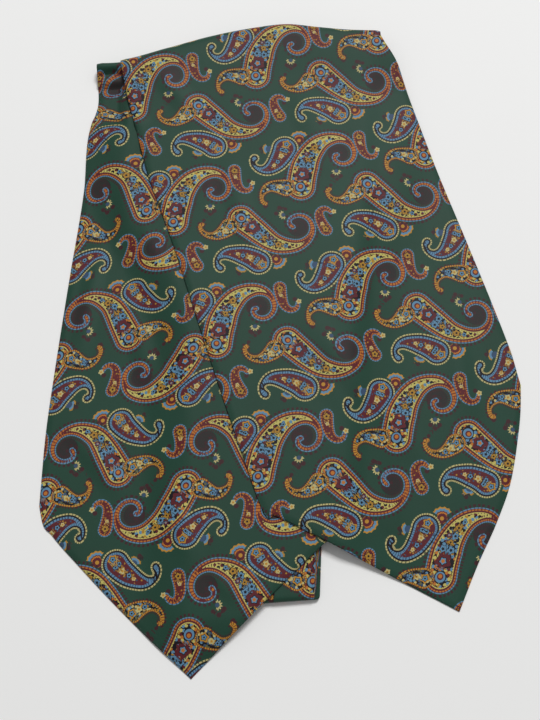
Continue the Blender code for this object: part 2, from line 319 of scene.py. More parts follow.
LEFT = Blade(
    name="left_blade",
    slot="left_silk",
    head=(-27.0, 150.0),
    tilt=-4.1,
    fold_x=(-101.8, 46.0),
    inside=CLOTH + GAP,
    under=7.5,
    edges=table(
        "along left right",
        (4, -74.6, 71), (18, -73, 71), (30, -71.8, 71), (46, -74.4, 71), (82, -73, 71),
        (133, -74.1, 71), (180, -74.9, 71), (213, -75, 71), (250, -73.2, 71),
    ),
    end=table(
        "side along",
        (-73.2, 250), (-70.8, 257.5), (-65.1, 263.8), (-50, 277.6), (-20, 303), (7.1, 323.9),
        (22.5, 305.6), (47, 277.5), (63.4, 259.5), (69.5, 252.5), (71, 248),
    ),
    height=left_height,
    laid=Laid(
        turn=-165.5,
        shift=(-42.88, 42.56),
        bend=-0.0005,
        bend_from=-162.7,
        bends_above=True,
        stretch=(1.0312, 1.0279),
        pulls=table(
            "x y reach across up",
            (-97, 72, 35, 0.8, -1.8), (-95, 104, 40, 4.5, -3.5), (-93, 119, 20, 2.8, 0),
            (-93, 138, 30, 6.8, 6.5),
        ),
    ),
    creases=table(
        "x y turn long wide rise",
        (-84, 66, -82, 34, 8, 0.7), (-99, 12, -98, 42, 7, 0.8), (-70, -18, -74, 46, 9, 0.8),
        (-92, -72, -52, 30, 8, 0.7), (-50, -104, -68, 32, 9, 0.8), (-28, -132, -50, 16, 6, 0.5),
    ),
)


def columns_of(blade):
    """Places of the columns across a blade, with one on its point."""
    tip = blade.point_share()
    before = round(SIDE_COLUMNS * tip)
    after = np.linspace(tip, 1.0, SIDE_COLUMNS - before + 1)[1:]
    return np.concatenate([np.linspace(0.0, tip, before + 1), after])


def end_line(blade, u):
    """Plan of the pointed end, its points spaced by length on each side of the point."""
    top = blade.end["along"].argmax()
    tip = blade.point_share()
    line = np.empty((len(u), 2))
    before = u < tip + 1e-6
    to_point = (before, blade.end[: top + 1], u / tip)
    from_point = (~before, blade.end[top:], (u - tip) / (1.0 - tip))
    for chosen, rows, share in (to_point, from_point):
        side = np.linspace(rows["side"][0], rows["side"][-1], LENGTH_SAMPLES)
        along = through(rows, "side", "along", side)
        length = np.append(0.0, np.cumsum(np.hypot(np.diff(side), np.diff(along))))
        at = share[chosen] * length[-1]
        line[chosen] = blade.place(np.interp(at, length, along), np.interp(at, length, side))
    return line


def side_line(blade, which, first, last, v):
    """Plan of one side, from the roll's crest to its corner of the pointed end."""
    start, stop = blade.measure(*first)[0], blade.measure(*last)[0]
    along = start + (stop - start) * v
    line = blade.place(along, through(blade.edges, "along", which, along))
    from_start = 1.0 - ease(v / CORNER_BLEND)
    to_end = ease((v - 1.0 + CORNER_BLEND) / CORNER_BLEND)
    line += (first - line[0]) * from_start[:, None]
    return line + (last - line[-1]) * to_end[:, None]


def front_plan(blade, crest, u, v):
    """Plan of a blade's front, ruled between its crest, two sides and pointed end."""
    bottom = end_line(blade, u)
    left = side_line(blade, "left", crest[0], bottom[0], v)[:, None]
    right = side_line(blade, "right", crest[-1], bottom[-1], v)[:, None]
    u, v = u[None, :, None], v[:, None, None]
    across = (1 - u) * left + u * right
    down = (1 - v) * crest + v * bottom
    corners = (1 - v) * ((1 - u) * crest[0] + u * crest[-1])
    return across + down - corners - v * ((1 - u) * bottom[0] + u * bottom[-1])


def blade_middle(blade):
    """Middle of a blade's wall, row by row, and each point's place on the flat cloth."""
    u, v = columns_of(blade), np.linspace(0.0, 1.0, FRONT_ROWS + 1)
    radius = ROLL_OUT - blade.inside - CLOTH / 2.0
    edge, inward = fold_point(blade.fold_x[0] + (blade.fold_x[1] - blade.fold_x[0]) * u)
    crest = edge + inward * ROLL_OUT
    level = np.ones(len(u))
    rows, flat = [], []
    for out in np.linspace(blade.under, 0.0, RETURN_ROWS, endpoint=False):
        rows.append(np.column_stack([crest + inward * out, level * (ROLL_OUT - radius)]))
        flat.append(crest - inward * (out + math.pi * radius))
    for angle in np.linspace(-math.pi / 2.0, math.pi / 2.0, ROLL_ROWS + 1):
        rise = ROLL_OUT + radius * math.sin(angle)
        rows.append(np.column_stack([crest - inward * radius * math.cos(angle), level * rise]))
        flat.append(crest - inward * radius * (math.pi / 2.0 - angle))
    plan = front_plan(blade, crest, u, v)
    x, y = plan[..., 0], plan[..., 1]
    creased = crease_rise(blade.creases, x, y) * ease(settled_share(x, y) / CREASES_FULL)
    rise = blade.height(x, y) + creased
    front = np.dstack([plan, rise + CLOTH / 2.0])
    return np.concatenate([np.array(rows), front[1:]]), np.concatenate([np.array(flat), plan[1:]])


def normals_of(points):
    """Normals of a grid of points, upward on a front."""
    normal = np.cross(np.gradient(points, axis=0), np.gradient(points, axis=1))
    return normal / np.linalg.norm(normal, axis=2, keepdims=True)


def border_of(grid):
    """What lies round a grid's border, in order."""
    return np.concatenate([grid[0], grid[1:, -1], grid[-1, -2::-1], grid[-2:0:-1, 0]])


def from_edge(flat):
    """Distance of each point of a grid from the cloth's own edge, as far as it matters."""
    border = border_of(flat)
    away = np.empty(flat.shape[:2])
    for row, points in enumerate(flat):
        low, high = points[:, 1].min() - EDGE_SEARCH, points[:, 1].max() + EDGE_SEARCH
        near = border[(border[:, 1] > low) & (border[:, 1] < high)]
        away[row] = np.sqrt(((points[:, None] - near[None]) ** 2).sum(axis=2)).min(axis=1)
    return away


def shell(name, upper, lower, flat):
    """A closed cloth: two faces over one grid, joined by a rounded edge; and its flat places."""
    rows, columns = upper.shape[:2]
    count = rows * columns
    number = np.arange(count).reshape(rows, columns)
    ring = border_of(number)
    middle = (upper + lower).reshape(-1, 3)[ring] / 2.0
    points = np.concatenate([upper.reshape(-1, 3), lower.reshape(-1, 3), middle])
    rim = 2 * count + np.arange(len(ring))
    a, b = number[:-1, :-1].ravel(), number[:-1, 1:].ravel()
    c, d = number[1:, 1:].ravel(), number[1:, :-1].ravel()
    following, rim_next = np.roll(ring, -1), np.roll(rim, -1)
    faces = np.concatenate(
        [
            np.column_stack([a, d, c, b]),
            np.column_stack([a, b, c, d]) + count,
            np.column_stack([ring, following, rim_next, rim]),
            np.column_stack([rim, rim_next, following + count, ring + count]),
        ]
    )
    flat = flat.reshape(-1, 2)
    return piece_mesh(name, points, faces.tolist()), np.concatenate([flat, flat, flat[ring]])


def piece_mesh(name, points, faces):
    """A smooth mesh from points in millimetres."""
    mesh = bpy.data.meshes.new(name)
    mesh.from_pydata((points * MM).tolist(), [], faces)
    mesh.shade_smooth()
    return mesh


def layered_side(at, outward, backs, high):
    """One side of the band's section, upwards: a small belly for each folded layer."""
    layer = high / len(backs)
    points = []
    for number, back in enumerate(backs):
        for share, belly in LAYER_BELLY:
            x = at - outward * (LAYER_ROUND * (1.0 - belly) + back)
            points.append((x, (number + share) * layer))
    return points


def pleated_top(left, right, high, step):
    """Top of the band's section from right to left: each pleat falls away to the right."""
    stops = (0.0, *PLEATS, 1.0)
    points = []
    for near, far in zip(reversed(stops[:-1]), reversed(stops[1:])):
        start, stop = (left + (right - left) * share for share in (near, far))
        first = stop if far == 1.0 else stop + PLEAT_LIP[-1][0]
        last = start + (PLEAT_LIP[0][0] if near else 0.0)
        inner = np.linspace(0.0, 1.0, round((far - near) * BAND_COLUMNS) + 1)[:-1]
        points += [(first + (last - first) * t, high - step * (1.0 - t)) for t in inner]
        if near:
            points += [(start + past, high - step * share) for past, share in PLEAT_LIP[:-1]]
    return [*points, (left, high)]


def band_section(y):
    """A section across the band as (x, z) points, and where its layered sides begin."""
    left, right, high = (float(through(BAND, "y", k, y)) for k in ("left", "right", "high"))
    pressed = float(ease((GATHERED_Y - y) / GATHERING))
    step = PLEAT_STEP * (OPEN_PLEAT + (1.0 - OPEN_PLEAT) * pressed)
    body_left = left + LAYER_BACK_LEFT[-1] + 2.0 * LAYER_ROUND
    body_right = right - LAYER_BACK_RIGHT[-1] - 2.0 * LAYER_ROUND
    top = pleated_top(body_left, body_right, high, step)
    ring = layered_side(right, 1.0, LAYER_BACK_RIGHT, high) + top
    ring += layered_side(left, -1.0, LAYER_BACK_LEFT, high)[::-1]
    ring += [(x, 0.0) for x, _ in reversed(top)]
    return np.array(ring), body_left, body_right


def rounded_end(half):
    """Rows that close an end in a half circle: distance from it, and share of the height."""
    angles = [math.radians(a) for a in END_ANGLES]
    return [(half * (1.0 - math.cos(a)), math.sin(a)) for a in angles]


def band_rows():
    """Places down the band where it is sampled, each with its share of the full height."""
    top, top_half, end_half = BAND["y"][0], BAND["high"][0] / 2.0, BAND["high"][-1] / 2.0
    plain = np.linspace(top - top_half, BAND_END_Y + end_half, BAND_ROWS + 1)[1:-1]
    rows = [(top - inset, share) for inset, share in rounded_end(top_half)]
    rows += [(y, 1.0) for y in plain]
    return rows + [(BAND_END_Y + inset, share) for inset, share in rounded_end(end_half)[::-1]]


def band_rings():
    """The band's rings of points, and each point's place on cloth wrapped once round it."""
    rings, flats = [], []
    for y, upright in band_rows():
        section, body_left, body_right = band_section(y)
        middle = float(through(BAND, "y", "high", y)) / 2.0
        down = (y - BAND_END_Y) / (BAND["y"][0] - BAND_END_Y)
        within = np.clip(section[:, 0], body_left, body_right)
        x = within + (section[:, 0] - within) * upright**END_SQUARE
        upper = fold_point(x)[0][:, 1] - BAND_FROM_FOLD
        lower = BAND_END_Y + BAND_END_SLOPE * x
        z = middle + (section[:, 1] - middle) * upright
        rings.append(np.column_stack([x, lower + (upper - lower) * down, z]))
        steps = np.hypot(*np.diff(section, axis=0).T)
        round_it = np.append(0.0, np.cumsum(steps))
        corner = len(LAYER_BACK_RIGHT) * len(LAYER_BELLY)
        across = x[corner] + round_it[corner] - round_it
        across[: corner // 2] += STRIP_SHIFT
        flats.append(np.column_stack([across, rings[-1][:, 1]]))
    return np.array(rings), np.array(flats)


def band_shell(name):
    """The closed hidden stretches and band, and each point's place on the flat cloth."""
    rings, flat = band_rings()
    rows, around = rings.shape[:2]
    number = np.arange(rows * around).reshape(rows, around)
    near, far = number[:-1], number[1:]
    before_near, before_far = np.roll(near, 1, axis=1), np.roll(far, 1, axis=1)
    walls = np.stack([near, far, before_far, before_near], axis=-1).reshape(-1, 4)
    faces = [*walls.tolist(), number[0, ::-1].tolist(), number[-1].tolist()]
    return piece_mesh(name, rings.reshape(-1, 3), faces), flat.reshape(-1, 2)


# The print's repeat: two steps that lead from a motif to the next like it
REPEAT = np.array([[66.8, 20.3], [23.75, -67.1]])
STROKE_STEP = 0.5  # a stroke is sampled about this far apart
OUTSIDE = -5.0  # depth given to a place that is far from every stroke
NO_ROSETTE = 50.0  # keeps a rosette's rings off the cloth between two rosettes
ROSETTE_MARGIN = 1.7  # a rosette is told to this far past its edge


@dataclass(frozen=True)
class Stroke:
    """A curling, tapering stroke: its head's middle, its heading in degrees and its arcs."""

    family: str
    start: tuple
    heading: float
    head: float  # half width at the head
    arcs: np.ndarray  # run, turn in degrees, half width at the end

    def line(self):
        """The middle line's points, headings and half widths."""
        at, heading, half = np.array(self.start), math.radians(self.heading), self.head
        points, headings, halves = [at], [heading], [half]
        for run, turn, half_end in self.arcs.tolist():
            count = max(2, round(run / STROKE_STEP))
            for number in range(count):
                heading += math.radians(turn) / count / 2.0
                at = at + run / count * np.array([math.cos(heading), math.sin(heading)])
                heading += math.radians(turn) / count / 2.0
                points.append(at)
                headings.append(heading)
                halves.append(half + (half_end - half) * (number + 1) / count)
            half = half_end
        return np.array(points), np.array(headings), np.array(halves)


def arcs(*rows):
    return table("run turn half", *rows)


# Large paisleys, tear drops, small paisleys and sprigs, two of each in a repeat
STROKES = (
    Stroke("large", (33, 6), 85, 8, arcs(
        (12.1, -10, 8), (13, -25, 6.2), (12.5, -45, 3.7), (8.9, -55, 2.1), (6.4, -42, 1.75),
        (4.6, -38, 1.6), (5, -49, 1.5), (4.2, -46, 1.4), (2.8, -50, 1.4), (2.2, -90, 1.5),
    )),
    Stroke("large", (1.5, -12.5), -41, 7.6, arcs(
        (11.5, 0, 7), (7, 3, 6.3), (7, 24, 5.3), (6.4, 17, 4.1), (5.9, 28, 2.9), (5.6, 29, 2.1),
        (5.1, 33, 1.8), (5.9, 43, 1.5), (5.1, 46, 1.35), (4.5, 40, 1.3), (3.1, 58, 1.25),
        (2.9, 60, 1.6),
    )),
    Stroke("drop", (24.7, 28.8), -110, 7.3, arcs(
        (8.6, -13, 6), (5.6, -22, 4.5), (5.1, -45, 2.9), (3.3, -30, 2.1), (3.7, -45, 2),
        (2.6, -55, 2.6),
    )),
    Stroke("drop", (77.5, -16.8), 145, 7.1, arcs(
        (8.6, 18, 6.1), (7, 13, 4.4), (3.7, 29, 3.3), (3.1, 25, 2.3), (3.1, 45, 2), (3.7, 55, 2.7),
    )),
    Stroke("small", (25.3, 5.4), 165, 4.9, arcs(
        (6.5, 13, 3.4), (4.2, 40, 2.6), (5, 40, 1.25), (3.3, 30, 1.05), (2.5, 67, 1.3),
    )),
    Stroke("small", (62.3, 3.2), 228, 4.9, arcs(
        (5.7, -14, 3.4), (4.9, -34, 2), (4.4, -35, 1.4), (4.2, -42, 1.1), (2.5, -93, 1.25),
    )),
    Stroke("sprig", (64.6, 36.1), -86, 3.6, arcs(
        (5, 7, 3.25), (3.7, 11, 2.8), (3.6, 30, 2.2), (3, 48, 1.75), (2.9, 55, 1.5),
        (1.9, 40, 1.2),
    )),
    Stroke("sprig", (45.9, -18.9), 123, 3.6, arcs(
        (5.6, -11, 3.1), (3.7, -16, 2.7), (3, -50, 2.1), (2.5, -50, 1.75), (2.3, -42, 1.5),
        (1.6, -10, 1.2),
    )),
)
FAMILIES = ("large", "drop", "small", "sprig")
PAINTED = ("drop", "large", "small", "sprig")  # from the bottom layer to the top

# Kinds of rosette under the strokes
FAN, BUD, CURL, LEAF = range(4)

# Rosettes under the strokes: fans, the dark discs in the curls and buds
UNDER = table(
    "x y radius turn kind",
    (32.4, 33.5, 5.7, 90, FAN), (86.5, -15.1, 5.7, -50, FAN), (53, 25.7, 5.6, 0, CURL),
    (31.1, -17.3, 5.6, 0, CURL), (16.4, 28.4, 3.9, 180, BUD), (69.2, -18.8, 3.9, -110, BUD),
    (49.8, 12.5, 1.2, 0, LEAF), (54.3, 12.4, 1.2, 0, LEAF), (52.2, 10.4, 1, 0, LEAF),
    (21.6, -6.2, 1.2, 0, LEAF), (24.8, -7, 1, 0, LEAF), (19.9, -9.5, 1.2, 0, LEAF),
    (72.2, 29.8, 1.2, 0, LEAF), (48.2, -10.6, 1.2, 0, LEAF), (11.8, 28.6, 1, 0, LEAF),
    (67.6, -23.4, 1, 0, LEAF), (14.3, -5.6, 1, 0, LEAF), (48.9, 6.9, 1, 0, LEAF),
)

# Kinds of flower over the strokes
CRESCENT, EYE, DARK_FLOWER, BLUE_FLOWER, OCHRE_FLOWER, STAR, RING = range(7)

# Single flowers between the strokes, and those at the sprigs' ends
LOOSE_FLOWERS = table(
    "x y radius turn kind",
    (52, 15.3, 2.3, -90, CRESCENT), (23.7, -10.3, 2.3, 200, CRESCENT), (74.3, 28.6, 1.3, 0, STAR),
    (50.1, -8.4, 1.3, 0, STAR),
)

def along_stroke(*rows):
    """Flowers on a stroke: distance from its head's middle, and to its left."""
    return table("along aside radius kind", *rows)


STROKE_FLOWERS = {
    "large": along_stroke(
        (0.6, 0.2, 2.9, EYE), (7.4, 0.3, 3.6, DARK_FLOWER), (12.8, 1.9, 1.9, BLUE_FLOWER),
        (13.2, -2, 1.9, BLUE_FLOWER), (16.8, -0.4, 1.5, OCHRE_FLOWER), (19.4, 1.9, 1.4, DARK_FLOWER),
        (20.4, -1, 1.7, BLUE_FLOWER), (24.6, 0, 1.9, OCHRE_FLOWER), (28.6, 0, 1.2, BLUE_FLOWER),
    ),
    "drop": along_stroke(
        (-2.6, 0, 2.2, RING), (1.2, 1.2, 1.3, BLUE_FLOWER), (1.2, -1.2, 1.3, BLUE_FLOWER),
        (4.9, 0, 1.45, STAR), (8.9, 0.2, 1.3, BLUE_FLOWER), (11.8, 0, 1, STAR),
    ),
    "small": along_stroke(
        (-0.4, 0, 2.1, RING), (3.6, 0, 1.4, STAR), (6.6, 0, 1.3, BLUE_FLOWER),
    ),
    "sprig": along_stroke(
        (0.4, 0, 1.8, OCHRE_FLOWER), (4.2, 0, 0.9, STAR),
    ),
}


def flowers():
    """All flowers over the strokes, as places in the print."""
    rows = [tuple(row) for row in LOOSE_FLOWERS.tolist()]
    for stroke in STROKES:
        points, headings, _ = stroke.line()
        lengths = np.append(0.0, np.cumsum(np.hypot(*np.diff(points, axis=0).T)))
        for flower in STROKE_FLOWERS[stroke.family]:
            heading = float(np.interp(flower["along"], lengths, headings))
            forward = np.array([math.cos(heading), math.sin(heading)])
            at = np.array([np.interp(flower["along"], lengths, points[:, k]) for k in (0, 1)])
            at += min(flower["along"], 0.0) * forward
            at += flower["aside"] * np.array([-forward[1], forward[0]])
            rows.append((*at, flower["radius"], math.degrees(heading), flower["kind"]))
    return table("x y radius turn kind", *rows)


def near_copy(places, middle):
    """Places moved by whole repeats until they are the nearest to a motif's middle."""
    cell = np.round((places - middle) @ np.linalg.inv(REPEAT))
    return places - cell @ REPEAT


def stroke_depths(stroke, places):
    """Depth inside a stroke, length round its outline, place in its repeat and along it."""
    points, headings, halves = stroke.line()
    steps = np.hypot(*np.diff(points, axis=0).T)
    rim_length = np.append(0.0, np.cumsum(np.hypot(steps, np.diff(halves))))
    middle = (points.min(axis=0) + points.max(axis=0)) / 2.0
    own = near_copy(places, middle)
    away = np.sqrt(((own[:, None] - points[None]) ** 2).sum(axis=2))
    depth = halves - away
    best = depth.argmax(axis=1)
    depth = depth[np.arange(len(own)), best]
    rim = rim_length[best]
    for end in (0, len(points) - 1):
        forward = np.array([math.cos(headings[end]), math.sin(headings[end])])
        offset = own - points[end]
        past = np.clip(offset @ forward / np.maximum(np.hypot(*offset.T), 1e-6), -1.0, 1.0)
        rim = np.where(best == end, rim + halves[end] * np.arcsin(past), rim)
    along = np.append(0.0, np.cumsum(steps))[best]
    return depth, rim, np.column_stack([own, along])


def rosette_places(rosettes, places):
    """Place inside the nearest rosette, in its own radii and turned with it, and its kind."""
    nearest = np.full(len(places), np.inf)
    found = np.zeros((len(places), 3))
    kinds = np.zeros(len(places))
    for rosette in rosettes:
        middle = np.array([rosette["x"], rosette["y"]])
        offset = near_copy(places, middle) - middle
        past = np.hypot(*offset.T) - rosette["radius"]
        closer = past < nearest
        nearest[closer] = past[closer]
        inside = turned(offset, -rosette["turn"]) / rosette["radius"]
        off = np.where(past < ROSETTE_MARGIN, 0.0, NO_ROSETTE)
        found[closer] = np.column_stack([inside, off])[closer]
        kinds[closer] = rosette["kind"]
    return found, kinds


def print_on(mesh, flat, laid):
    """Gives a piece's points their places in the print, and its faces the cloth's own."""
    places = laid.on(flat)
    depths = np.full((len(flat), len(FAMILIES)), OUTSIDE)
    rims = np.zeros_like(depths)
    local = np.zeros((len(flat), 3))
    for stroke in STROKES:
        family = FAMILIES.index(stroke.family)
        for first in range(0, len(flat), CHUNK):
            part = slice(first, first + CHUNK)
            depth, rim, own = stroke_depths(stroke, places[part])
            deeper = depth > depths[part, family]
            depths[part, family][deeper] = depth[deeper]
            rims[part, family][deeper] = rim[deeper]
            inside = deeper & (depth > 0.0)
            local[part][inside] = own[inside]
    under, under_kind = rosette_places(UNDER, places)
    over, over_kind = rosette_places(flowers(), places)
    give(mesh, "depths", depths[:, :3])
    give(mesh, "rims", rims[:, :3])
    give(mesh, "sprig", np.column_stack([depths[:, 3], rims[:, 3], np.zeros(len(flat))]))
    give(mesh, "under", under)
    give(mesh, "over", over)
    give(mesh, "kinds", np.column_stack([under_kind, over_kind, np.zeros(len(flat))]))
    give(mesh, "local", local)
    corners = np.empty(len(mesh.loops), dtype=np.int32)
    mesh.loops.foreach_get("vertex_index", corners)
    cloth = mesh.uv_layers.new(name="Cloth")
    cloth.uv.foreach_set("vector", (flat[corners] * MM).ravel().astype(np.float32))


def give(mesh, name, values):
    """Keeps three numbers on each point of a mesh."""
    kept = mesh.attributes.new(name, "FLOAT_VECTOR", "POINT")
    kept.data.foreach_set("vector", values.ravel().astype(np.float32))


class Wire:
    """One value in a tree of nodes, on which Python's arithmetic works."""

    def __init__(self, nodes, socket):
        self.nodes, self.socket = nodes, socket

    def maths(self, operation, *others):
        values = dict(enumerate((self, *others)))
        return self.nodes.add("ShaderNodeMath", {"operation": operation}, values)

    def __rsub__(self, other):
        return self * -1.0 + other

    __add__ = partialmethod(maths, "ADD")
    __mul__ = partialmethod(maths, "MULTIPLY")
    __truediv__ = partialmethod(maths, "DIVIDE")
    __gt__ = partialmethod(maths, "GREATER_THAN")
    __lt__ = partialmethod(maths, "LESS_THAN")


class Nodes:
    """Builds a tree of nodes, one after another."""

    def __init__(self, tree):
        self.tree = tree

    def add(self, kind, settings, sockets, output=0):
        """A node: its settings are made first, then its sockets' values or links."""
        made = self.tree.nodes.new(kind)
        for name, value in settings.items():
            if name == "stops":
                self.set_stops(made.color_ramp, value)
            else:
                setattr(made, name, value)
        for key, value in sockets.items():
            self.join(made.inputs[key], value)
        if isinstance(output, tuple):
            return [Wire(self, made.outputs[key]) for key in output]
        return Wire(self, made.outputs[output])

    def set_stops(self, ramp, stops):
        """Puts a ramp's colours at their places, each held as far as the next."""
        ramp.interpolation = "CONSTANT"
        while len(ramp.elements) < len(stops):
            ramp.elements.new(1.0)
        for element, (place, colour) in zip(ramp.elements, stops):
            element.position, element.color = place, colour

    def join(self, socket, value):
        if isinstance(value, Wire):
            self.tree.links.new(value.socket, socket)
        else:
            socket.default_value = value


class Shader(Nodes):
    """Builds one material."""

    def __init__(self, name, dyes=None):
        self.material = bpy.data.materials.new(name)
        self.material.use_nodes = True
        super().__init__(self.material.node_tree)
        self.dyes = dyes

    def surface(self, values):
        """Gives the surface's own sockets their values or links."""
        for name, value in values.items():
            self.join(self.tree.nodes["Principled BSDF"].inputs[name], value)
        return self.material

    def dye(self, name):
        """The colour of a dye; no name is no colour at all."""
        return (*getattr(self.dyes, name), 1.0) if name else (0.0, 0.0, 0.0, 0.0)

    def noise(self, place, size, detail=2.0):
        """An uneven value that changes over a length in millimetres."""
        values = {"Vector": place, "Scale": 1.0 / (size * MM), "Detail": detail}
        return self.add("ShaderNodeTexNoise", {}, values)

    def attribute(self, name):
        """The three numbers that a piece's points keep under a name."""
        vector = self.add("ShaderNodeAttribute", {"attribute_name": name}, {}, "Vector")
        return vector, *self.parts(vector)

    def parts(self, vector):
        """The three numbers of a vector."""
        return self.add("ShaderNodeSeparateXYZ", {}, {0: vector}, ("X", "Y", "Z"))

    def mix(self, share, under, over):
        """A colour mixed from two."""
        return self.add("ShaderNodeMix", {"data_type": "RGBA"}, {0: share, 6: under, 7: over}, 2)

    def bands(self, place, rows, end, output="Color"):
        """The dye, or its opacity, at a share of the way to the rows' end."""
        stops = [(start / end, self.dye(name)) for start, name in rows]
        return self.add("ShaderNodeValToRGB", {"stops": stops}, {"Fac": place}, output)


DEEPEST = 5.0  # a stroke's lines are told apart down to this depth

# Lines of each kind of stroke: the depth at which each starts, and its dye
LINES = {
    "large": (
        (0.0, "blue"), (0.56, "maroon"), (0.84, "orange"), (1.48, "maroon"), (2.3, "yellow"),
        (2.95, "dark"),
    ),
    "drop": ((0.0, "cream"), (0.75, "dark"), (1.55, "blue"), (2.6, "maroon")),
    "small": ((0.0, "maroon"), (0.1, "gold"), (0.92, "dark")),
    "sprig": ((0.0, "blue"), (0.45, "maroon"), (0.6, "orange"), (1.15, "maroon")),
}
# The same lines between their beads
GAPS = {
    "large": (
        (0.0, "dusk"), (0.56, "maroon"), (0.84, "rust"), (1.48, "maroon"), (2.3, "yellow"),
        (2.65, "dark"),
    ),
    "drop": ((0.0, "moss"), (0.85, "dark"), (1.6, "slate"), (2.8, "maroon")),
    "small": ((0.0, "maroon"), (0.1, "rust"), (0.8, "dark")),
    "sprig": ((0.0, "slate"), (0.6, "maroon"), (1.25, "dark")),
}
BEAD_PITCH = {"large": 1.5, "drop": 1.25, "small": 1.15, "sprig": 1.3}
BEAD_SHARE = 0.66  # of the pitch
# What fills a stroke: depth at which it starts, size of its specks, share that is open,
# and the dyes of the specks
FILLS = {
    "large": (2.95, 1.8, 0.47, ("ochre", "blue", "maroon", "yellow", "blue", "orange")),
    "drop": (3.2, 1.5, 0.3, ("maroon", "slate", "maroon", "ochre")),
    "small": (1.0, 1.45, 0.46, ("blue", "moss", "cream", "ochre", "slate")),
    "sprig": (1.35, 1.1, 0.36, ("ochre", "maroon", "rust")),
}
YELLOW_FROM = 17.0  # along a large stroke, where its ground turns from dark to yellow
YELLOW_SPECKS = ("dark", "blue", "dark", "ochre", "dark", "maroon")  # the specks on that ground
# Maroon dots round the strokes: from and to these depths, their pitch and their share of it
HALOS = {"large": (-1.6, -0.3, 1.7, 0.55), "small": (-0.9, 0.0, 1.4, 0.5)}

# Rings of the rosettes: share of the radius at which each starts, and its dye; None is open
UNDER_RINGS = {
    FAN: (
        (0.0, "gold"), (0.16, "maroon"), (0.42, "orange"), (0.54, "maroon"), (0.62, "blue"),
        (0.82, "gold"), (0.97, None),
    ),
    BUD: ((0.0, "slate"), (0.5, "blue"), (0.76, "ochre"), (0.97, None)),
    CURL: tuple((k / 16, "plum" if k % 2 else "shade") for k in range(15)) + ((0.96, None),),
    LEAF: ((0.0, "wine"), (0.97, None)),
}
FLOWER_RINGS = {
    CRESCENT: ((0.0, "slate"), (0.42, None), (0.52, "cream"), (0.92, None)),
    EYE: ((0.0, "orange"), (0.3, "maroon"), (0.5, "blue"), (0.8, "dark"), (0.97, None)),
    DARK_FLOWER: ((0.0, "orange"), (0.22, "blue"), (0.38, "dark"), (0.5, "maroon"), (0.97, None)),
    BLUE_FLOWER: ((0.0, "dark"), (0.36, "blue"), (0.8, "dark"), (0.97, None)),
    OCHRE_FLOWER: ((0.0, "dark"), (0.28, "ochre"), (0.8, "dark"), (0.95, None)),
    STAR: ((0.0, "gold"), (0.4, "cream"), (0.95, None)),
    RING: ((0.0, "dark"), (0.2, "blue"), (0.5, "dark"), (0.62, "gold"), (0.95, None)),
}
OPEN_UNDER, OPEN_FLOWERS = 2, 1  # how many of the first kinds are open at the back
ROSETTE_END = 0.97  # share of its radius past which a rosette doesn't show
LAST_RING = 0.999  # keeps a place among its own kind's rings
FAN_OPENS, CRESCENT_OPENS = 0.57, -0.3  # least cosine from its own direction that a ring shows
OPEN_FROM = 0.45  # share of the radius inside which such a ring is whole
PETALS, PETAL_WAVE = 5, 0.16
EYE_DROP = 0.3  # how far an eye is drawn out, away from its stroke's tail
FAN_BEADS, CRESCENT_BEADS = (15, 0.04), (11, 0.2)  # how many, and how far they stand out


def rosette_layer(silk, under, where, kind, rings, open_kinds, opens, beads, petalled):
    """Paints rosettes over a colour: rings about each middle, some of them open at the back."""
    _, x, y, off = where
    radius = (x * x + y * y + off * off).maths("SQRT")
    angle = y.maths("ARCTAN2", x)
    beads = (angle * beads[0]).maths("COSINE") * beads[1]
    petals = (angle * PETALS).maths("COSINE") * PETAL_WAVE
    open_kind = kind < open_kinds - 0.5
    drop = (x / radius) * EYE_DROP
    waves = petals * (kind > EYE + 0.5) + drop * (1.0 - open_kind) * (kind < EYE + 0.5)
    wavy = radius * (beads * open_kind + waves * petalled + 1.0)
    kinds = len(rings)
    place = (kind + wavy.maths("MINIMUM", LAST_RING)) / kinds
    rows = [(number + start, name) for number, circles in rings.items() for start, name in circles]
    rounded, shown = (silk.bands(place, rows, kinds, output) for output in ("Color", "Alpha"))
    turned_away = (x / radius) < opens
    past_middle = radius > OPEN_FROM
    shown = shown * (wavy < ROSETTE_END) * (1.0 - open_kind * turned_away * past_middle)
    return silk.mix(shown, under, rounded)


def stroke_layer(silk, under, family, depth, rim, local):
    """Paints one kind of stroke over a colour: its beaded lines and the specks inside."""
    local, _, _, along = local
    place = depth / DEEPEST
    line, gap = (silk.bands(place, rows[family], DEEPEST) for rows in (LINES, GAPS))
    between = (rim / BEAD_PITCH[family]).maths("FRACT") > BEAD_SHARE
    colour = silk.mix(between, line, gap)
    start, speck, open_from, names = FILLS[family]
    settings = {"voronoi_dimensions": "2D"}
    cell = {"Vector": local, "Scale": 1.0 / speck}
    spread, chance = silk.add("ShaderNodeTexVoronoi", settings, cell, ("Distance", "Color"))
    chance = silk.add("ShaderNodeSeparateColor", {}, {0: chance})
    specks = silk.bands(chance, enumerate(names), len(names))
    ground = silk.dye(LINES[family][-1][1])
    if family == "large":
        far = along > YELLOW_FROM
        darker = silk.bands(chance, enumerate(YELLOW_SPECKS), len(YELLOW_SPECKS))
        specks, ground = silk.mix(far, specks, darker), silk.mix(far, ground, silk.dye("yellow"))
    specks = silk.mix(spread > open_from, specks, ground)
    colour = silk.mix(depth > start, colour, specks)
    return silk.mix(depth > 0.0, under, colour)


def halo_layer(silk, under, family, depth, rim):
    """Paints the row of maroon dots round one kind of stroke."""
    outer, inner, pitch, share = HALOS[family]
    dots = (depth > outer) * (depth < inner) * ((rim / pitch).maths("FRACT") < share)
    return silk.mix(dots, under, silk.dye("wine"))


